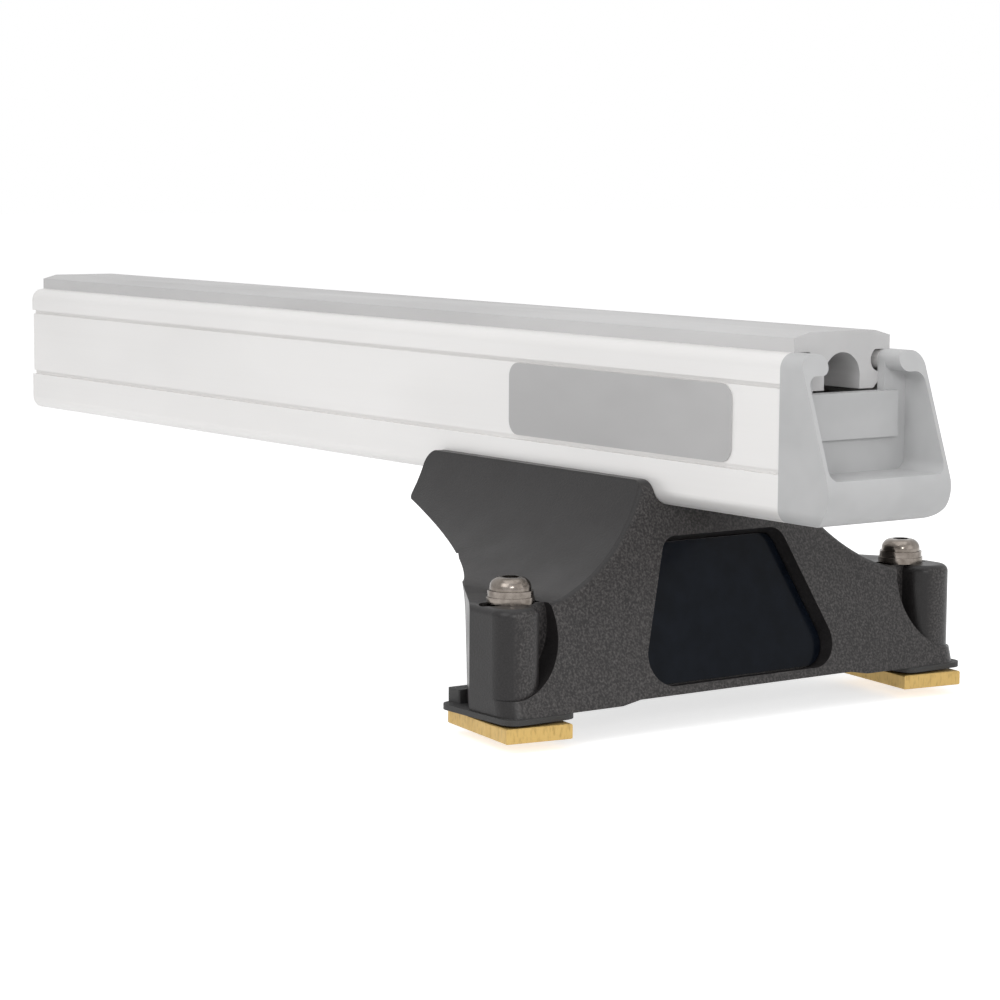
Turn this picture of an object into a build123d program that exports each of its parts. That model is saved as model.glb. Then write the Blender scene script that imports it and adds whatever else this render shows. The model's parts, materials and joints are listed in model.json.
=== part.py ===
"""Roof rack crossbar: an extruded bar with a rubber strip and end cap, on one leg for a roof track.

X runs along the bar to its capped end, Y along the leg and Z up. The origin lies midway between the
two track screws, on the underside of the foot pads, where the leg stands on the roof track.
"""
import math
import os

from build123d import *

# Extruded bar
bar_length = 396.0
bar_width = 41.0
bar_height = 42.0
bar_overhang = 47.0
bar_wall = 2.5
bar_corner = 4.0
web_thickness = 2.0
hollow_corner = 0.8
lip_thickness = 5.2
top_slot_width = 24.0
top_channel_depth = 8.0
bolt_channel_height = 5.0
panel_low = 12.7
panel_high = 33.9
panel_recess = 0.5
groove_width = 1.2
groove_depth = 0.8

# Rubber strip
strip_width = 32.0
strip_height = 4.8
strip_bevel_width = 5.0
strip_bevel_height = 1.3
strip_leg_depth = 9.7
strip_hook_width = 25.2
strip_hook_chamfer = 2.0
strip_notch_radius = 3.0
strip_arch_width = 12.0
strip_arch_roof = 0.4

# End cap
cap_wall = 1.2
cap_floor = 11.8
cap_floor_wall = 2.0
cap_floor_hollow = 12.0
cap_plate = 2.5
cap_low_reach = 21.8
cap_high_reach = 7.0
cap_nose_radius = 8.5
cap_window_depth = 10.2
cap_spigot_length = 14.0
cap_spigot_wall = 1.8
cap_spigot_clearance = 0.25
cap_panel_width = 31.0
cap_panel_height = 11.5
cap_panel_thickness = 1.6

# Side label
label_length = 93.6
label_margin = 0.1
label_setback = 18.0
label_corner = 4.0
label_thickness = 0.4

# Leg: feet and bosses
screw_spacing = 134.0
pad_thickness = 1.4
boss_height = 26.8
boss_margin = 10.0
boss_reach = 12.0
boss_width = 13.0
boss_round = 6.0
boss_edge = 2.0
scoop_radius = 17.0
scoop_drop = 5.7
scoop_offset = 8.5
scoop_floor = 4.0
foot_inner = 9.0
foot_facet_start = 3.5
foot_facet_angle = 32.5
arch_rise = 1.0
arch_half = 36.0
arch_run = 6.0

# Leg: leaning face, flanks and saddle
leg_reach = 14.3
leg_lean = 16.2
leg_wall = 4.0
saddle_height = 49.5
saddle_floor = 5.0
saddle_lip_height = 6.5
saddle_lip_wall = 3.0
saddle_lip_round = 5.0
seat_clearance = 0.1
side_clearance = 0.15
flank_foot = 9.5
flank_sag = 4.5
flank_blend = 16.0
ridge_round = 1.6
wing_reach = 99.0
wing_tip_back = 4.2
wing_tip_depth = 12.8
wing_tip_round = 3.0
root_inner = 23.0
root_height = 25.6
root_round = 14.0
rib_thickness = 3.0

# Badge recess on the leaning face
badge_top_width = 39.4
badge_bottom_width = 70.0
badge_low = 3.2
badge_height = 38.6
badge_top_corner = 5.0
badge_bottom_corner = 7.5
badge_depth = 5.0
badge_draft = 8.0
badge_plate_thickness = 1.2
badge_plate_gap = 0.3

# Track fastening: M6 screws, washers and channel nuts
screw_diameter = 6.0
screw_length = 36.5
head_diameter = 10.5
head_height = 3.3
head_rim = 0.7
socket_flats = 4.0
socket_depth = 2.0
thread_clearance = 0.05
slot_clearance = 0.6
slot_length = 18.0
flat_washer_diameter = 12.2
flat_washer_thickness = 1.6
spring_washer_diameter = 11.6
spring_washer_thickness = 1.6
spring_washer_slit = 1.0
washer_clearance = 0.2
nut_length = 32.0
nut_width = 18.5
nut_thickness = 3.8
nut_edge = 0.5
nut_gap = 0.6
front_nut_turn = -8.5
rear_nut_turn = -8.0

# Foot pads
pad_overlap = 0.6
pad_length = 21.5
pad_corner = 4.0
pad_tab_length = 5.0
pad_tab_width = 15.0
pad_tab_height = 5.0

# Bolts that hold the leg in the bar's lower channel
bolt_diameter = 6.0
bolt_flats = 10.0
bolt_head_height = 4.0
bolt_clearance = 0.3
bolt_tail = 1.0
plain_washer_diameter = 12.0
plain_washer_thickness = 1.6
lock_nut_flats = 10.0
lock_nut_height = 6.0
insert_height = 1.6
insert_wall = 1.0

# Levels and places that follow from the sizes above
screw_y = screw_spacing / 2
foot_end = screw_y + boss_margin
boss_top = pad_thickness + boss_height
lip_top = saddle_height + saddle_lip_height
bar_bottom = saddle_height + seat_clearance
bar_top = bar_bottom + bar_height
bar_far = bar_overhang - bar_length
bar_inner = bar_width - 2 * bar_wall
bolt_channel_width = bolt_flats + 2 * bolt_clearance
bolt_slot_width = bolt_diameter + 2 * bolt_clearance
channel_floor = bar_top - lip_thickness - top_channel_depth
hollow_low = bar_bottom + bar_wall
hollow_high = channel_floor - web_thickness
bolt_box_top = hollow_low + bolt_channel_height + web_thickness
panel_y = bar_width / 2 - panel_recess
head_base = boss_top + flat_washer_thickness + spring_washer_thickness
lean = math.tan(math.radians(leg_lean))
tilt = math.hypot(1, lean)
lip_outer = bar_width / 2 + side_clearance + saddle_lip_wall
flank_low = screw_y - flank_foot
inner_slope = (root_inner - foot_inner) / (root_height - pad_thickness)


def face_x(z):
    """X of the leg's leaning outer face at height z."""
    return leg_reach - lean * (z - pad_thickness)


def inner_x(z):
    """X of the leg's slanted inner side at height z; a web carries it on up to the saddle."""
    return -foot_inner - inner_slope * (z - pad_thickness)


# The flank is one hollow arc from the saddle lip down to the boss
flank_chord = math.hypot(flank_low - lip_outer, lip_top - boss_top)
flank_radius = flank_chord ** 2 / (8 * flank_sag) + flank_sag / 2
flank_up = (lip_top - boss_top) / flank_chord
flank_out = (flank_low - lip_outer) / flank_chord
flank_rise = flank_radius - flank_sag
flank_y = (lip_outer + flank_low) / 2 + flank_up * flank_rise
flank_z = (lip_top + boss_top) / 2 + flank_out * flank_rise
flank_mid = (flank_y - flank_up * flank_radius, flank_z - flank_out * flank_radius)


def inner_flank_y(z):
    """Half width of the hollow below the flank at height z."""
    return flank_y - math.sqrt((flank_radius + leg_wall) ** 2 - (z - flank_z) ** 2)


def inner_flank_z(y):
    """Height of the hollow below the flank at half width y."""
    return flank_z - math.sqrt((flank_radius + leg_wall) ** 2 - (y - flank_y) ** 2)


with BuildPart() as bar:
    with BuildSketch(Plane.YZ.offset(bar_far)) as bar_section:
        with Locations((0, bar_bottom + bar_height / 2)):
            RectangleRounded(bar_width, bar_height, bar_corner)
        # Shallow side panels, each edged by two fine grooves
        with Locations((-bar_width / 2, bar_bottom + (panel_low + panel_high) / 2),
                       (bar_width / 2, bar_bottom + (panel_low + panel_high) / 2)):
            Rectangle(2 * panel_recess, panel_high - panel_low, mode=Mode.SUBTRACT)
        with Locations((-panel_y, bar_bottom + panel_low), (panel_y, bar_bottom + panel_low),
                       (-panel_y, bar_bottom + panel_high), (panel_y, bar_bottom + panel_high)):
            Rectangle(2 * groove_depth, groove_width, mode=Mode.SUBTRACT)
        # Upper channel for the rubber strip, under two round-nosed lips
        with Locations((0, channel_floor + top_channel_depth / 2)):
            RectangleRounded(bar_inner, top_channel_depth, hollow_corner, mode=Mode.SUBTRACT)
        with Locations((0, bar_top - lip_thickness / 2)):
            Rectangle(top_slot_width, lip_thickness + 2 * hollow_corner, mode=Mode.SUBTRACT)
        lip_corners = bar_section.vertices().filter_by(
            lambda v: abs(abs(v.X) - top_slot_width / 2) < 0.01 and v.Y > channel_floor + top_channel_depth / 2)
        fillet(lip_corners, lip_thickness / 2 - 0.1)
        # Main hollow, with the lower channel for the leg bolts standing in it
        with Locations((0, (hollow_low + hollow_high) / 2)):
            RectangleRounded(bar_inner, hollow_high - hollow_low, hollow_corner, mode=Mode.SUBTRACT)
        with Locations((0, (hollow_low + bolt_box_top) / 2)):
            Rectangle(bolt_channel_width + 2 * web_thickness, bolt_box_top - hollow_low)
        with Locations((0, hollow_low + bolt_channel_height / 2)):
            Rectangle(bolt_channel_width, bolt_channel_height, mode=Mode.SUBTRACT)
        with Locations((0, bar_bottom + bar_wall / 2)):
            Rectangle(bolt_slot_width, 2 * bar_wall, mode=Mode.SUBTRACT)
    extrude(amount=bar_length)

with BuildPart() as top_strip:
    with BuildSketch(Plane.YZ.offset(bar_far)) as strip_section:
        half = strip_width / 2
        shoulder = bar_top + strip_height - strip_bevel_height
        with BuildLine():
            Polyline((-half, bar_top), (half, bar_top), (half, shoulder),
                     (half - strip_bevel_width, bar_top + strip_height),
                     (strip_bevel_width - half, bar_top + strip_height), (-half, shoulder), close=True)
        make_face()
        # Two snap-in legs with hooked toes and an arched hollow between them
        with BuildSketch(mode=Mode.PRIVATE) as strip_legs:
            with Locations((0, bar_top - strip_leg_depth / 2)):
                Rectangle(strip_hook_width, strip_leg_depth)
            chamfer(strip_legs.vertices().group_by(Axis.Y)[0], strip_hook_chamfer)
            with Locations((-strip_hook_width / 2, bar_top - lip_thickness / 2),
                           (strip_hook_width / 2, bar_top - lip_thickness / 2)):
                Circle(strip_notch_radius, mode=Mode.SUBTRACT)
            arch_z = bar_top - strip_arch_roof - strip_arch_width / 2
            with Locations((0, arch_z)):
                Circle(strip_arch_width / 2, mode=Mode.SUBTRACT)
            with Locations((0, arch_z - strip_leg_depth / 2)):
                Rectangle(strip_arch_width, strip_leg_depth, mode=Mode.SUBTRACT)
        add(strip_legs.sketch_local)
    extrude(amount=bar_length)

with BuildPart() as end_cap:
    with BuildSketch(Plane.YZ.offset(bar_overhang)):
        with Locations((0, bar_bottom + bar_height / 2)):
            RectangleRounded(bar_width, bar_height, bar_corner)
    extrude(amount=cap_low_reach)
    # Slanted front with a rounded nose at its foot
    with BuildSketch(Plane.XZ) as cap_side:
        with BuildLine():
            Polyline((bar_overhang, bar_bottom), (bar_overhang + cap_low_reach, bar_bottom),
                     (bar_overhang + cap_high_reach, bar_top), (bar_overhang, bar_top), close=True)
        make_face()
        nose = cap_side.vertices().sort_by_distance((bar_overhang + cap_low_reach, bar_bottom, 0))[0]
        fillet(nose, cap_nose_radius)
    extrude(amount=bar_width, both=True, mode=Mode.INTERSECT)
    # Scoop open to the front, with an ear left over each lip of the bar
    with BuildSketch(Plane.YZ.offset(bar_overhang + cap_plate)):
        scoop_low = bar_bottom + cap_floor
        scoop_high = bar_top - lip_thickness
        with Locations((0, (scoop_low + scoop_high) / 2)):
            RectangleRounded(bar_width - 2 * cap_wall, scoop_high - scoop_low, bar_corner - cap_wall)
        with Locations((0, bar_top - lip_thickness / 2)):
            Rectangle(top_slot_width, 2 * lip_thickness)
    extrude(amount=cap_low_reach, mode=Mode.SUBTRACT)
    with BuildSketch(Plane.YZ.offset(bar_overhang)):
        with Locations((0, bar_top)):
            Rectangle(top_slot_width, 2 * cap_window_depth)
    extrude(amount=cap_plate, mode=Mode.SUBTRACT)
    ear_noses = end_cap.edges().filter_by(Axis.X).filter_by(
        lambda e: abs(abs(e.center().Y) - top_slot_width / 2) < 0.01 and e.center().Z > scoop_high - 0.01)
    fillet(ear_noses, lip_thickness / 2 - 0.1)
    # The thick floor is hollow from the bar's side
    with BuildSketch(Plane.YZ.offset(bar_overhang)):
        with Locations((0, bar_bottom + cap_floor / 2)):
            Rectangle(bar_inner, cap_floor - 2 * cap_floor_wall)
    extrude(amount=cap_floor_hollow, mode=Mode.SUBTRACT)
    # Raised panel on the back wall
    with BuildSketch(Plane.YZ.offset(bar_overhang + cap_plate)):
        with Locations((0, bar_top - cap_window_depth - cap_panel_height / 2)):
            Rectangle(cap_panel_width, cap_panel_height)
    extrude(amount=cap_panel_thickness)
    # Hollow spigot that plugs into the bar above the bolt channel
    spigot_width = bar_inner - 2 * cap_spigot_clearance
    spigot_height = hollow_high - bolt_box_top - 2 * cap_spigot_clearance
    with BuildSketch(Plane.YZ.offset(bar_overhang)):
        with Locations((0, (hollow_high + bolt_box_top) / 2)):
            RectangleRounded(spigot_width, spigot_height, hollow_corner)
            Rectangle(spigot_width - 2 * cap_spigot_wall, spigot_height - 2 * cap_spigot_wall,
                      mode=Mode.SUBTRACT)
    extrude(amount=-cap_spigot_length)

with BuildPart() as bar_label:
    label_height = panel_high - panel_low - groove_width - 2 * label_margin
    label_x = bar_overhang - label_setback - label_length / 2
    with BuildSketch(Plane.XZ.offset(panel_y)):
        with Locations((label_x, bar_bottom + (panel_low + panel_high) / 2)):
            RectangleRounded(label_length, label_height, label_corner)
    extrude(amount=label_thickness)

# Hollow of the leg: one pocket in the column and two in the wing, all open below
pocket_top = saddle_height - saddle_floor
pocket_half = flank_low - leg_wall - boss_edge
pocket_low = pad_thickness - 1
web_inset = leg_wall * math.hypot(1, inner_slope)
wing_back = -(wing_reach - wing_tip_back - leg_wall)
rib_x = (wing_back + inner_x(pocket_top)) / 2
face_inset = (badge_depth + leg_wall) * tilt

with BuildPart() as leg_pockets:
    with BuildSketch(Plane.YZ.offset(-wing_reach)):
        with BuildLine():
            Polyline((inner_flank_y(pocket_top), pocket_top), (0, pocket_top), (0, pocket_low),
                     (pocket_half, pocket_low), (pocket_half, inner_flank_z(pocket_half)))
            ThreePointArc((pocket_half, inner_flank_z(pocket_half)),
                          (flank_y - flank_up * (flank_radius + leg_wall),
                           flank_z - flank_out * (flank_radius + leg_wall)),
                          (inner_flank_y(pocket_top), pocket_top))
        make_face()
    extrude(amount=wing_reach + leg_reach)
    with BuildSketch(Plane.XZ):
        with BuildLine():
            Polyline((inner_x(pocket_low) + web_inset, pocket_low), (face_x(pocket_low) - face_inset, pocket_low),
                     (face_x(pocket_top) - face_inset, pocket_top),
                     (inner_x(pocket_top) + web_inset, pocket_top), close=True)
        make_face()
        with BuildLine():
            Polyline((inner_x(pocket_low), pocket_low), (inner_x(pocket_top), pocket_top),
                     (rib_x + rib_thickness / 2, pocket_top), (rib_x + rib_thickness / 2, pocket_low), close=True)
        make_face()
        with BuildLine():
            Polyline((wing_back, pocket_low), (wing_back, pocket_top), (rib_x - rib_thickness / 2, pocket_top),
                     (rib_x - rib_thickness / 2, pocket_low), close=True)
        make_face()
    extrude(amount=-screw_spacing, mode=Mode.INTERSECT)
    mirror(about=Plane.XZ)

badge_z = pad_thickness + badge_low
badge_plane = Plane(origin=(face_x(badge_z), 0, badge_z), x_dir=(0, 1, 0), z_dir=(1, 0, lean))
outer_bolt_x = (inner_x(pocket_top) + web_inset + face_x(pocket_top) - face_inset) / 2
inner_bolt_x = (wing_back + rib_x - rib_thickness / 2) / 2

with BuildPart() as leg_body:
    # End view of one half: foot, boss, hollow flank and saddle lip
    with BuildSketch(Plane.YZ.offset(-wing_reach - 1)) as leg_end:
        with BuildLine():
            Polyline((lip_outer, lip_top), (lip_outer, lip_top + 1), (0, lip_top + 1),
                     (0, pad_thickness + arch_rise), (arch_half, pad_thickness + arch_rise),
                     (arch_half + arch_run, pad_thickness), (foot_end, pad_thickness),
                     (foot_end, boss_top), (flank_low, boss_top))
            ThreePointArc((flank_low, boss_top), flank_mid, (lip_outer, lip_top))
        make_face()
        fillet(leg_end.vertices().sort_by_distance((flank_low, boss_top, 0))[0], flank_blend)
    extrude(amount=wing_reach + leg_reach + 2)
    # Side view: leaning face in front, wing under the bar behind
    with BuildSketch(Plane.XZ) as leg_side:
        with BuildLine():
            Polyline((face_x(0), 0), (face_x(lip_top), lip_top), (-wing_reach, lip_top),
                     (-wing_reach + wing_tip_back, lip_top - wing_tip_depth), (-root_inner, root_height),
                     (-foot_inner, pad_thickness), (-foot_inner, 0), close=True)
        make_face()
        fillet(leg_side.vertices().sort_by_distance((-wing_reach, lip_top, 0))[0], wing_tip_round)
        wing_tip = (-wing_reach + wing_tip_back, lip_top - wing_tip_depth, 0)
        fillet(leg_side.vertices().sort_by_distance(wing_tip)[0], wing_tip_round)
        fillet(leg_side.vertices().sort_by_distance((-root_inner, root_height, 0))[0], root_round)
    extrude(amount=-(foot_end + 1), mode=Mode.INTERSECT)
    # Soft ridge where the flank meets the leaning face
    ridge_z = boss_top + flank_sag
    leaning_face = leg_body.faces().sort_by_distance((face_x(ridge_z), arch_half, ridge_z))[0]
    ridge = leaning_face.edges().filter_by(lambda e: e.center().Z > boss_top - 0.01 and e.center().Y > lip_outer)
    fillet(ridge, ridge_round)
    # The foot's outer corner is scooped and rounded, so that the screw boss stands free
    with BuildSketch(Plane.YZ.offset(scoop_floor)):
        with Locations((screw_y + scoop_offset, boss_top - scoop_drop)):
            Circle(scoop_radius)
    extrude(amount=leg_reach, mode=Mode.SUBTRACT)
    fillet(leg_body.edges().sort_by_distance((face_x(pad_thickness + 2), foot_end, pad_thickness + 2))[0], boss_round)
    with BuildSketch(Plane.XY.offset(pad_thickness)) as boss_plan:
        with Locations((boss_reach / 2, foot_end - boss_width / 2)):
            Rectangle(boss_reach, boss_width)
        fillet(boss_plan.vertices().group_by(Axis.X)[-1], boss_round)
    extrude(amount=boss_height)
    # Slanted facet on the inner corner of the foot
    with BuildSketch(Plane.XY):
        facet_run = wing_reach / 2
        with BuildLine():
            Polyline((-foot_facet_start, foot_end), (-foot_facet_start - facet_run, foot_end),
                     (-foot_facet_start - facet_run,
                      foot_end - facet_run * math.tan(math.radians(foot_facet_angle))), close=True)
        make_face()
    extrude(amount=lip_top, mode=Mode.SUBTRACT)
    # Softened rim round the top of the boss
    boss_rim = leg_body.edges().filter_by_position(Axis.Z, boss_top - 0.01, boss_top + 0.01)
    boss_rim = boss_rim.filter_by(lambda e: e.center().X > -boss_reach and e.center().Y > foot_end - boss_width)
    fillet(boss_rim, boss_edge)
    mirror(about=Plane.XZ)
    # Rounded front end of the saddle lips
    with BuildSketch(Plane.XZ):
        round_z = lip_top - saddle_lip_round
        round_x = face_x(round_z) - saddle_lip_round * tilt
        reach = 3 * saddle_lip_round
        with BuildLine():
            Polyline((round_x, round_z), (round_x, round_z + reach), (round_x + reach, round_z + reach),
                     (round_x + reach / tilt, round_z + reach * lean / tilt), close=True)
        make_face()
        with Locations((round_x, round_z)):
            Circle(saddle_lip_round, mode=Mode.SUBTRACT)
    extrude(amount=screw_spacing, both=True, mode=Mode.SUBTRACT)
    # Saddle for the bar
    with BuildSketch(Plane.YZ.offset(-wing_reach - 1)) as saddle:
        with Locations((0, saddle_height + bar_height / 2)):
            Rectangle(bar_width + 2 * side_clearance, bar_height)
        fillet(saddle.vertices().group_by(Axis.Y)[0], bar_corner - side_clearance - seat_clearance)
    extrude(amount=wing_reach + leg_reach + 2, mode=Mode.SUBTRACT)
    add(leg_pockets.part, mode=Mode.SUBTRACT)
    # Badge recess, drawn on the leaning face and drafted inwards
    with BuildSketch(badge_plane) as badge_outline:
        with BuildLine():
            Polyline((-badge_bottom_width / 2, 0), (badge_bottom_width / 2, 0),
                     (badge_top_width / 2, badge_height), (-badge_top_width / 2, badge_height), close=True)
        make_face()
        fillet(badge_outline.vertices().group_by(Axis.Y)[0], badge_bottom_corner)
        fillet(badge_outline.vertices().group_by(Axis.Y)[-1], badge_top_corner)
    extrude(amount=-badge_depth, taper=badge_draft, mode=Mode.SUBTRACT)
    # Slotted screw holes through the bosses and round holes for the bolts of the bar
    with BuildSketch(Plane.XY):
        with Locations((0, -screw_y), (0, screw_y)):
            SlotOverall(slot_length, screw_diameter + slot_clearance, rotation=90)
    extrude(amount=boss_top, mode=Mode.SUBTRACT)
    with BuildSketch(Plane.XY.offset(pocket_top)):
        with Locations((outer_bolt_x, 0), (inner_bolt_x, 0)):
            Circle(bolt_diameter / 2 + bolt_clearance)
    extrude(amount=saddle_floor, mode=Mode.SUBTRACT)

with BuildPart() as badge_plate:
    with BuildSketch(badge_plane.offset(-badge_depth)):
        add(badge_outline.sketch_local)
        offset(amount=-badge_depth * math.tan(math.radians(badge_draft)) - badge_plate_gap, mode=Mode.REPLACE)
    extrude(amount=badge_plate_thickness)

# Pieces that serve both feet are drawn on the Z axis and set at each screw
with BuildPart() as foot_pad:
    pad_front = leg_reach + pad_overlap
    pad_back = pad_tab_length + pad_overlap / 2 - inner_x(pad_tab_height)
    with BuildSketch() as pad_plan:
        with Locations(((pad_front - pad_back) / 2, 0)):
            Rectangle(pad_front + pad_back, pad_length)
        fillet(pad_plan.vertices(), pad_corner)
        SlotOverall(slot_length, screw_diameter + slot_clearance, rotation=90, mode=Mode.SUBTRACT)
    extrude(amount=pad_thickness)
    # Upstand that keeps the pad square behind the foot
    with BuildSketch(Plane.XY.offset(pad_thickness)):
        with Locations((-pad_back + pad_tab_length / 2, 0)):
            RectangleRounded(pad_tab_length, pad_tab_width, pad_overlap)
    extrude(amount=pad_tab_height - pad_thickness)

with BuildPart() as track_screw:
    shank = screw_diameter / 2
    tip = head_base - screw_length
    head = head_diameter / 2
    crown = socket_flats / math.sqrt(3) + 2 * head_rim / 3
    with BuildSketch(Plane.XZ):
        with BuildLine():
            Polyline((crown, head_base + head_height), (0, head_base + head_height), (0, tip),
                     (shank - head_rim, tip), (shank, tip + head_rim), (shank, head_base),
                     (head, head_base), (head, head_base + head_rim))
            SagittaArc((head, head_base + head_rim), (crown, head_base + head_height), -head_rim)
        make_face()
    revolve(axis=Axis.Z)
    with BuildSketch(Plane.XY.offset(head_base + head_height)):
        RegularPolygon(socket_flats / 2, 6, major_radius=False)
    extrude(amount=-socket_depth, mode=Mode.SUBTRACT)

with BuildPart() as flat_washer:
    with BuildSketch(Plane.XY.offset(boss_top)):
        Circle(flat_washer_diameter / 2)
        Circle(screw_diameter / 2 + washer_clearance, mode=Mode.SUBTRACT)
    extrude(amount=flat_washer_thickness)

with BuildPart() as spring_washer:
    with BuildSketch(Plane.XY.offset(boss_top + flat_washer_thickness)):
        Circle(spring_washer_diameter / 2)
        Circle(screw_diameter / 2 + washer_clearance, mode=Mode.SUBTRACT)
    extrude(amount=spring_washer_thickness)
    with BuildSketch(Plane.YZ):
        with Locations((0, boss_top + flat_washer_thickness + spring_washer_thickness / 2)):
            Rectangle(spring_washer_slit, 3 * spring_washer_thickness, rotation=25)
    extrude(amount=-spring_washer_diameter, mode=Mode.SUBTRACT)

with BuildPart() as channel_nut:
    with BuildSketch(Plane.XY.offset(-nut_gap)):
        Rectangle(nut_length, nut_width)
    extrude(amount=-nut_thickness)
    chamfer(channel_nut.faces().filter_by(Axis.Z).edges(), nut_edge / 2)
    with BuildSketch(Plane.XY.offset(-nut_gap)):
        Circle(screw_diameter / 2 + thread_clearance)
    extrude(amount=-nut_thickness, mode=Mode.SUBTRACT)

# Bolts of the bar are drawn on the Z axis too
washer_low = pocket_top - plain_washer_thickness
lock_nut_low = washer_low - lock_nut_height

with BuildPart() as bar_bolt:
    with BuildSketch(Plane.XY.offset(hollow_low + seat_clearance)):
        RegularPolygon(bolt_flats / 2, 6, major_radius=False)
    extrude(amount=bolt_head_height)
    with BuildSketch(Plane.XY.offset(lock_nut_low - bolt_tail)):
        Circle(bolt_diameter / 2)
    extrude(amount=hollow_low + seat_clearance - lock_nut_low + bolt_tail)

with BuildPart() as plain_washer:
    with BuildSketch(Plane.XY.offset(washer_low)):
        Circle(plain_washer_diameter / 2)
        Circle(bolt_diameter / 2 + washer_clearance, mode=Mode.SUBTRACT)
    extrude(amount=plain_washer_thickness)

with BuildPart() as lock_nut:
    with BuildSketch(Plane.XY.offset(lock_nut_low)):
        RegularPolygon(lock_nut_flats / 2, 6, major_radius=False)
        Circle(bolt_diameter / 2 + thread_clearance, mode=Mode.SUBTRACT)
    extrude(amount=lock_nut_height)
    with BuildSketch(Plane.XY.offset(lock_nut_low)):
        Circle(bolt_diameter / 2 + insert_wall + thread_clearance)
    extrude(amount=insert_height, mode=Mode.SUBTRACT)

with BuildPart() as lock_insert:
    with BuildSketch(Plane.XY.offset(lock_nut_low)):
        Circle(bolt_diameter / 2 + insert_wall)
        Circle(bolt_diameter / 2 + thread_clearance, mode=Mode.SUBTRACT)
    extrude(amount=insert_height)

single_pieces = {
    "bar": bar,
    "top_strip": top_strip,
    "end_cap": end_cap,
    "bar_label": bar_label,
    "leg_body": leg_body,
    "badge_plate": badge_plate,
}
foot_pieces = {
    "foot_pad": foot_pad,
    "track_screw": track_screw,
    "flat_washer": flat_washer,
    "spring_washer": spring_washer,
}
bolt_pieces = {
    "bar_bolt": bar_bolt,
    "plain_washer": plain_washer,
    "lock_nut": lock_nut,
    "lock_insert": lock_insert,
}

placed = {name: piece.part for name, piece in single_pieces.items()}
for side, y, turn in (("front", -screw_y, front_nut_turn), ("rear", screw_y, rear_nut_turn)):
    for name, piece in foot_pieces.items():
        placed[f"{side}_{name}"] = piece.part.moved(Location((0, y, 0)))
    placed[f"{side}_channel_nut"] = channel_nut.part.moved(Location((0, y, 0), (0, 0, turn)))
for side, x in (("outer", outer_bolt_x), ("inner", inner_bolt_x)):
    for name, piece in bolt_pieces.items():
        placed[f"{side}_{name}"] = piece.part.moved(Location((x, 0, 0)))

os.makedirs("parts", exist_ok=True)
for name, solid in placed.items():
    solid.label = name
    export_step(solid, f"parts/{name}.step")
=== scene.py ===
"""Roof rack crossbar on its leg: finishes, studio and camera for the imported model."""
import json
from math import cos, radians, sin

import bpy
from mathutils import Matrix, Vector


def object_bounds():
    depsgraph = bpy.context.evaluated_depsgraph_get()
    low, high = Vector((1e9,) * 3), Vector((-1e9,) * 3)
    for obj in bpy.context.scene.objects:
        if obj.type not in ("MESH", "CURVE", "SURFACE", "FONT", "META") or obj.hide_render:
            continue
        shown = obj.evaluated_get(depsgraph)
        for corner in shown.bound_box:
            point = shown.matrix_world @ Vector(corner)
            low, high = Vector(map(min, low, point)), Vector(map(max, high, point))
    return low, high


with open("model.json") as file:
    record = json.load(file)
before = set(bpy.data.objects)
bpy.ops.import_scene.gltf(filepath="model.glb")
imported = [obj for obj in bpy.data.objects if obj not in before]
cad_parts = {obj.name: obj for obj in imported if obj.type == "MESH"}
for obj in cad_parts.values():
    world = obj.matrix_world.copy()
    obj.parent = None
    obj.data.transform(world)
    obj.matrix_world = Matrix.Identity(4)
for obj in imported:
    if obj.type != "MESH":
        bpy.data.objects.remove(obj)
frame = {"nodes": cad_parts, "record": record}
cad_box = [list(corner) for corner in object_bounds()]
nodes = frame["nodes"]

# Camera: place in metres, angles in degrees, lens and sensor in millimetres
CAMERA_PLACE = Vector((0.576436, -0.492159, 0.137994))
CAMERA_AZIMUTH = 53.811
CAMERA_ELEVATION = 6.696
CAMERA_ROLL = 0.396
CAMERA_LENS = 104.384
SENSOR_WIDTH = 36.0

# Studio: the lamps' target, then name, azimuth and elevation from it, distance, size and power
LAMP_TARGET = Vector((-0.03, 0.0, 0.05))
LAMPS = (
    ("key", 15, 38, 1.6, 1.0, 7.0),
    ("glint", 62, 20, 1.8, 0.3, 4.5),
    ("fill", 105, 25, 1.6, 1.2, 3.0),
    ("top", 60, 85, 1.5, 1.4, 5.0),
)
WORLD_LIGHT = 0.42
FLOOR_GLOW = 0.66
FLOOR_SIZE = 12.0
# Room under the part for the channel nuts at their lowest
FLOOR_DROP = 0.002

# Usual range of a noise texture's values
NOISE_LOW = 0.3
NOISE_HIGH = 0.7
# Direction in which the leg's leaning face looks; the specks with painted sparkle go on the face
# that looks this way
LEANING_FACE = (0.96, 0.0, 0.28)


def new_material(name, colour, roughness, metallic=0.0, specular=0.5):
    """A principled material with the values that are the same all over."""
    material = bpy.data.materials.new(name)
    material.use_nodes = True
    shader = material.node_tree.nodes["Principled BSDF"]
    shader.inputs["Base Color"].default_value = (*colour, 1.0)
    shader.inputs["Roughness"].default_value = roughness
    shader.inputs["Metallic"].default_value = metallic
    shader.inputs["Specular IOR Level"].default_value = specular
    return material


def shader_of(material):
    return material.node_tree.nodes["Principled BSDF"]


def noise(material, size, stretch=(1.0, 1.0, 1.0), detail=2.0):
    """Noise in the object's own space with features of about size metres, drawn out by stretch."""
    tree = material.node_tree
    place = tree.nodes.new("ShaderNodeTexCoord")
    mapping = tree.nodes.new("ShaderNodeMapping")
    mapping.inputs["Scale"].default_value = [1.0 / (size * s) for s in stretch]
    texture = tree.nodes.new("ShaderNodeTexNoise")
    texture.inputs["Scale"].default_value = 1.0
    texture.inputs["Detail"].default_value = detail
    tree.links.new(place.outputs["Object"], mapping.inputs["Vector"])
    tree.links.new(mapping.outputs["Vector"], texture.inputs["Vector"])
    return texture.outputs["Fac"]


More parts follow.
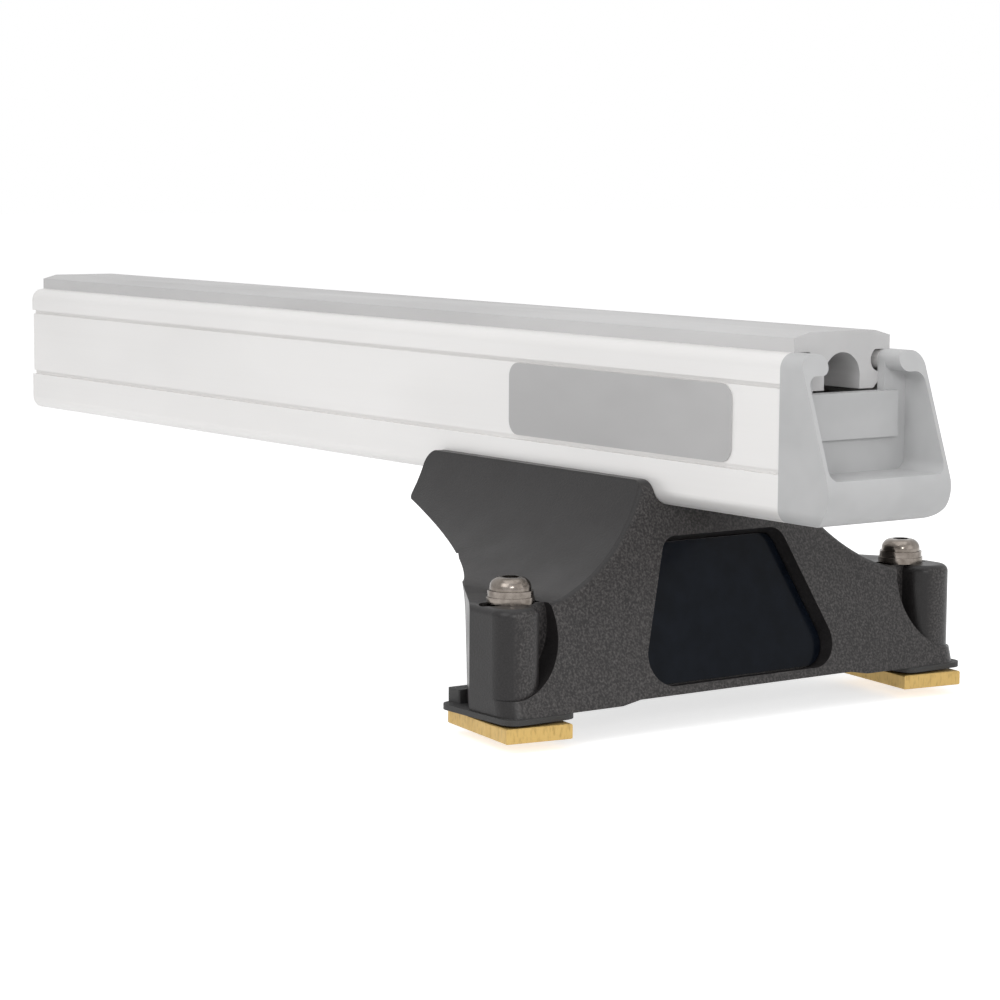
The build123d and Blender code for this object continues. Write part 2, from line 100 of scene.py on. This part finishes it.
def tint(material, factor, dark, light, low=0.35, high=0.65):
    """Colour that runs from dark to light as factor runs from low to high."""
    ramp = material.node_tree.nodes.new("ShaderNodeValToRGB")
    ramp.color_ramp.elements[0].position = low
    ramp.color_ramp.elements[0].color = (*dark, 1.0)
    ramp.color_ramp.elements[1].position = high
    ramp.color_ramp.elements[1].color = (*light, 1.0)
    material.node_tree.links.new(factor, ramp.inputs["Fac"])
    return ramp.outputs["Color"]


def spread(material, factor, low, high):
    """Number that runs from low to high over the usual range of noise."""
    span = material.node_tree.nodes.new("ShaderNodeMapRange")
    span.inputs["From Min"].default_value = NOISE_LOW
    span.inputs["From Max"].default_value = NOISE_HIGH
    span.inputs["To Min"].default_value = low
    span.inputs["To Max"].default_value = high
    material.node_tree.links.new(factor, span.inputs["Value"])
    return span.outputs["Result"]


def feed(material, socket, name):
    material.node_tree.links.new(socket, shader_of(material).inputs[name])


def bump(material, height, depth, strength=1.0):
    """Relief of the given depth in metres, on top of any relief that is already there."""
    tree = material.node_tree
    node = tree.nodes.new("ShaderNodeBump")
    node.inputs["Strength"].default_value = strength
    node.inputs["Distance"].default_value = depth
    tree.links.new(height, node.inputs["Height"])
    normal = shader_of(material).inputs["Normal"]
    if normal.is_linked:
        tree.links.new(normal.links[0].from_socket, node.inputs["Normal"])
    tree.links.new(node.outputs["Normal"], normal)


def mix(material, factor, first, second):
    node = material.node_tree.nodes.new("ShaderNodeMix")
    node.data_type = "RGBA"
    tree = material.node_tree
    tree.links.new(factor, node.inputs["Factor"])
    tree.links.new(first, node.inputs["A"])
    tree.links.new(second, node.inputs["B"])
    return node.outputs["Result"]


def facing(material, axis, start, end):
    """1 where the surface faces along axis, 0 where it turns away."""
    tree = material.node_tree
    geometry = tree.nodes.new("ShaderNodeNewGeometry")
    dot = tree.nodes.new("ShaderNodeVectorMath")
    dot.operation = "DOT_PRODUCT"
    dot.inputs[1].default_value = axis
    tree.links.new(geometry.outputs["Normal"], dot.inputs[0])
    span = tree.nodes.new("ShaderNodeMapRange")
    span.inputs["From Min"].default_value = start
    span.inputs["From Max"].default_value = end
    tree.links.new(dot.outputs["Value"], span.inputs["Value"])
    return span.outputs["Result"]


def bar_metal():
    """Pale satin aluminium with fine extrusion lines along the bar."""
    material = new_material("bar_metal", (0.86, 0.848, 0.838), 0.42, metallic=0.25)
    lines = noise(material, 0.0006, (400.0, 1.0, 1.0), 3.0)
    cloud = noise(material, 0.03, (3.0, 1.0, 1.0), 2.0)
    feed(material, tint(material, cloud, (0.84, 0.828, 0.818), (0.88, 0.868, 0.858)), "Base Color")
    feed(material, spread(material, lines, 0.34, 0.5), "Roughness")
    bump(material, lines, 0.00002, 0.25)
    return material


def strip_rubber():
    """Grey extruded rubber, matte, with a faint bloom."""
    material = new_material("strip_rubber", (0.62, 0.615, 0.615), 0.68)
    grain = noise(material, 0.0004, (6.0, 1.0, 1.0), 3.0)
    bloom = noise(material, 0.02, (4.0, 1.0, 1.0), 3.0)
    feed(material, tint(material, bloom, (0.585, 0.58, 0.58), (0.66, 0.655, 0.655)), "Base Color")
    feed(material, spread(material, grain, 0.6, 0.78), "Roughness")
    bump(material, grain, 0.00005, 0.4)
    return material


def cap_plastic():
    """Grey moulded plastic with a fine spark-eroded grain."""
    material = new_material("cap_plastic", (0.535, 0.537, 0.54), 0.5)
    grain = noise(material, 0.0003, detail=4.0)
    cloud = noise(material, 0.012, detail=2.0)
    feed(material, tint(material, cloud, (0.515, 0.518, 0.521), (0.56, 0.562, 0.565)), "Base Color")
    feed(material, spread(material, grain, 0.42, 0.6), "Roughness")
    bump(material, grain, 0.00004, 0.35)
    return material


def label_film():
    """Bare grey film, smoother than what it is stuck to."""
    material = new_material("label_film", (0.495, 0.49, 0.49), 0.36)
    weave = noise(material, 0.0005, (3.0, 1.0, 1.0), 2.0)
    cloud = noise(material, 0.015, (2.0, 1.0, 1.0), 2.0)
    feed(material, tint(material, cloud, (0.48, 0.475, 0.475), (0.515, 0.51, 0.51)), "Base Color")
    feed(material, spread(material, weave, 0.3, 0.44), "Roughness")
    bump(material, weave, 0.00001, 0.3)
    return material


def leg_plastic():
    """Dark filled plastic: fine grain, with bright specks on the leaning face that are partly its
    grain and partly painted sparkle (painted highlight).
    """
    material = new_material("leg_plastic", (0.018, 0.0168, 0.0168), 0.36, specular=0.3)
    fine = noise(material, 0.00035, detail=3.0)
    specks = noise(material, 0.0006, detail=6.0)
    cloud = noise(material, 0.012, detail=3.0)
    smooth_colour = tint(material, fine, (0.014, 0.0128, 0.0131), (0.023, 0.0213, 0.0216))
    # Bright speck colour: partly the leaning face's grain, partly painted sparkle standing in for
    # glints
    speck_and_painted_sparkle_colour = tint(material, specks, (0.022, 0.0203, 0.0203), (0.098, 0.091, 0.089),
                        0.42, 0.74)
    # Only the leaning face gets the speck colour, so the painted sparkle lies on that face alone
    grain_and_sparkle_face = facing(material, LEANING_FACE, 0.80, 0.96)
    feed(material, mix(material, grain_and_sparkle_face, smooth_colour, speck_and_painted_sparkle_colour), "Base Color")
    feed(material, spread(material, cloud, 0.30, 0.42), "Roughness")
    bump(material, fine, 0.00006, 0.40)
    bump(material, specks, 0.00010, 0.45)
    return material


def badge_gloss():
    """Glossy near-black blue plate with faint handling marks in its gloss."""
    material = new_material("badge_gloss", (0.003, 0.005, 0.009), 0.14, specular=0.1)
    smear = noise(material, 0.006, (3.0, 1.0, 1.0), 3.0)
    colour = tint(material, smear, (0.0025, 0.0042, 0.0075), (0.004, 0.0062, 0.011))
    feed(material, colour, "Base Color")
    feed(material, spread(material, smear, 0.1, 0.2), "Roughness")
    return material


def pad_rubber():
    """Black moulded rubber."""
    material = new_material("pad_rubber", (0.022, 0.022, 0.022), 0.62)
    grain = noise(material, 0.0004, detail=4.0)
    colour = tint(material, grain, (0.017, 0.017, 0.017), (0.032, 0.031, 0.031))
    feed(material, colour, "Base Color")
    feed(material, spread(material, grain, 0.52, 0.72), "Roughness")
    bump(material, grain, 0.00006, 0.4)
    return material


def stainless():
    """Turned steel with a warm cast, its colour held dark as a painted reflection of dark
    surroundings.
    """
    # Base colour darkened far below bright steel: painted dark reflection
    material = new_material("stainless", (0.20, 0.175, 0.155), 0.2, metallic=1.0)
    rings = noise(material, 0.0004, (20.0, 20.0, 1.0), 2.0)
    steel_mottle = noise(material, 0.003, detail=3.0)
    # Colour range held dark as a painted reflection of dark surroundings, mottled by noise
    feed(material, tint(material, steel_mottle, (0.14, 0.12, 0.103), (0.265, 0.235, 0.21)), "Base Color")
    feed(material, spread(material, rings, 0.14, 0.26), "Roughness")
    bump(material, rings, 0.00001, 0.2)
    return material


def nut_brass():
    """Plain brass with sawn, speckled faces."""
    material = new_material("nut_brass", (0.56, 0.385, 0.13), 0.42, metallic=0.7)
    specks = noise(material, 0.0007, (1.0, 1.0, 3.0), 6.0)
    saw = noise(material, 0.0004, (1.0, 1.0, 14.0), 2.0)
    colour = tint(material, specks, (0.44, 0.295, 0.098), (0.585, 0.40, 0.14), 0.30, 0.50)
    feed(material, colour, "Base Color")
    feed(material, spread(material, saw, 0.34, 0.55), "Roughness")
    bump(material, saw, 0.00004, 0.35)
    return material


def zinc_steel():
    """Zinc-plated steel with a mottled surface."""
    material = new_material("zinc_steel", (0.55, 0.55, 0.53), 0.34, metallic=1.0)
    mottle = noise(material, 0.0015, detail=4.0)
    feed(material, tint(material, mottle, (0.47, 0.475, 0.465), (0.61, 0.61, 0.585)), "Base Color")
    feed(material, spread(material, mottle, 0.26, 0.44), "Roughness")
    return material


def insert_nylon():
    """Off-white nylon ring."""
    material = new_material("insert_nylon", (0.7, 0.7, 0.66), 0.45)
    cloud = noise(material, 0.001, detail=3.0)
    feed(material, tint(material, cloud, (0.66, 0.66, 0.62), (0.74, 0.74, 0.7)), "Base Color")
    feed(material, spread(material, cloud, 0.38, 0.52), "Roughness")
    return material


def dress_nodes():
    """Gives each CAD node the finish of its material slot."""
    makers = (bar_metal, strip_rubber, cap_plastic, label_film, leg_plastic, badge_gloss,
              pad_rubber, stainless, nut_brass, zinc_steel, insert_nylon)
    finishes = {maker.__name__: maker() for maker in makers}
    for part in frame["record"]["subparts"]:
        mesh = nodes[part["node"]].data
        mesh.materials.clear()
        mesh.materials.append(finishes[part["material_slot"]])


def white_for_camera(tree):
    """Output that is 1 for what the camera sees, straight or in gloss or glass, and 0 for light."""
    path = tree.nodes.new("ShaderNodeLightPath")
    first = tree.nodes.new("ShaderNodeMath")
    first.operation = "MAXIMUM"
    second = tree.nodes.new("ShaderNodeMath")
    second.operation = "MAXIMUM"
    tree.links.new(path.outputs["Is Camera Ray"], first.inputs[0])
    tree.links.new(path.outputs["Is Glossy Ray"], first.inputs[1])
    tree.links.new(first.outputs["Value"], second.inputs[0])
    tree.links.new(path.outputs["Is Transmission Ray"], second.inputs[1])
    return second.outputs["Value"]


def build_floor():
    """A wide pale floor that keeps the object's shadow and is clear when seen from below."""
    height = cad_box[0][2] - FLOOR_DROP
    bpy.ops.mesh.primitive_plane_add(size=FLOOR_SIZE, location=(0.0, 0.0, height))
    floor = bpy.context.object
    floor.name = "floor"
    material = new_material("floor", (0.88, 0.88, 0.88), 0.9, specular=0.0)
    shader = shader_of(material)
    shader.inputs["Emission Color"].default_value = (1.0, 1.0, 1.0, 1.0)
    span = material.node_tree.nodes.new("ShaderNodeMath")
    span.operation = "MULTIPLY"
    span.inputs[1].default_value = FLOOR_GLOW
    tree = material.node_tree
    tree.links.new(white_for_camera(tree), span.inputs[0])
    tree.links.new(span.outputs["Value"], shader.inputs["Emission Strength"])
    geometry = tree.nodes.new("ShaderNodeNewGeometry")
    clear = tree.nodes.new("ShaderNodeBsdfTransparent")
    sides = tree.nodes.new("ShaderNodeMixShader")
    tree.links.new(geometry.outputs["Backfacing"], sides.inputs["Fac"])
    tree.links.new(shader.outputs["BSDF"], sides.inputs[1])
    tree.links.new(clear.outputs["BSDF"], sides.inputs[2])
    tree.links.new(sides.outputs["Shader"], tree.nodes["Material Output"].inputs["Surface"])
    floor.data.materials.append(material)


def build_world():
    """White to the camera and in reflections, softer as light."""
    world = bpy.data.worlds.new("studio")
    bpy.context.scene.world = world
    world.use_nodes = True
    tree = world.node_tree
    background = tree.nodes["Background"]
    background.inputs["Color"].default_value = (1.0, 1.0, 1.0, 1.0)
    span = tree.nodes.new("ShaderNodeMapRange")
    span.inputs["To Min"].default_value = WORLD_LIGHT
    span.inputs["To Max"].default_value = 1.0
    tree.links.new(white_for_camera(tree), span.inputs["Value"])
    tree.links.new(span.outputs["Result"], background.inputs["Strength"])


def build_lamps():
    """Soft boxes round the leg, each aimed at it."""
    for name, azimuth, elevation, distance, size, power in LAMPS:
        lamp = bpy.data.lights.new(name, "AREA")
        lamp.shape = "SQUARE"
        lamp.size = size
        lamp.energy = power
        box = bpy.data.objects.new(name, lamp)
        bpy.context.collection.objects.link(box)
        a, e = radians(azimuth), radians(elevation)
        away = Vector((sin(a) * cos(e), -cos(a) * cos(e), sin(e)))
        box.location = LAMP_TARGET + distance * away
        box.rotation_euler = away.to_track_quat("Z", "Y").to_euler()


def build_camera():
    """Camera at the photograph's viewing angle."""
    a, e, w = radians(CAMERA_AZIMUTH), radians(CAMERA_ELEVATION), radians(CAMERA_ROLL)
    right = Vector((cos(a), sin(a), 0.0))
    forward = Vector((-sin(a) * cos(e), cos(a) * cos(e), -sin(e)))
    up = right.cross(forward)
    across = cos(w) * right + sin(w) * up
    upright = cos(w) * up - sin(w) * right
    lens = bpy.data.cameras.new("camera")
    lens.lens = CAMERA_LENS
    lens.sensor_width = SENSOR_WIDTH
    camera = bpy.data.objects.new("camera", lens)
    bpy.context.collection.objects.link(camera)
    turn = Matrix((across, upright, -forward)).transposed().to_4x4()
    camera.matrix_world = Matrix.Translation(CAMERA_PLACE) @ turn
    bpy.context.scene.camera = camera


dress_nodes()
build_floor()
build_world()
build_lamps()
build_camera()
bpy.context.scene.view_settings.view_transform = "Standard"
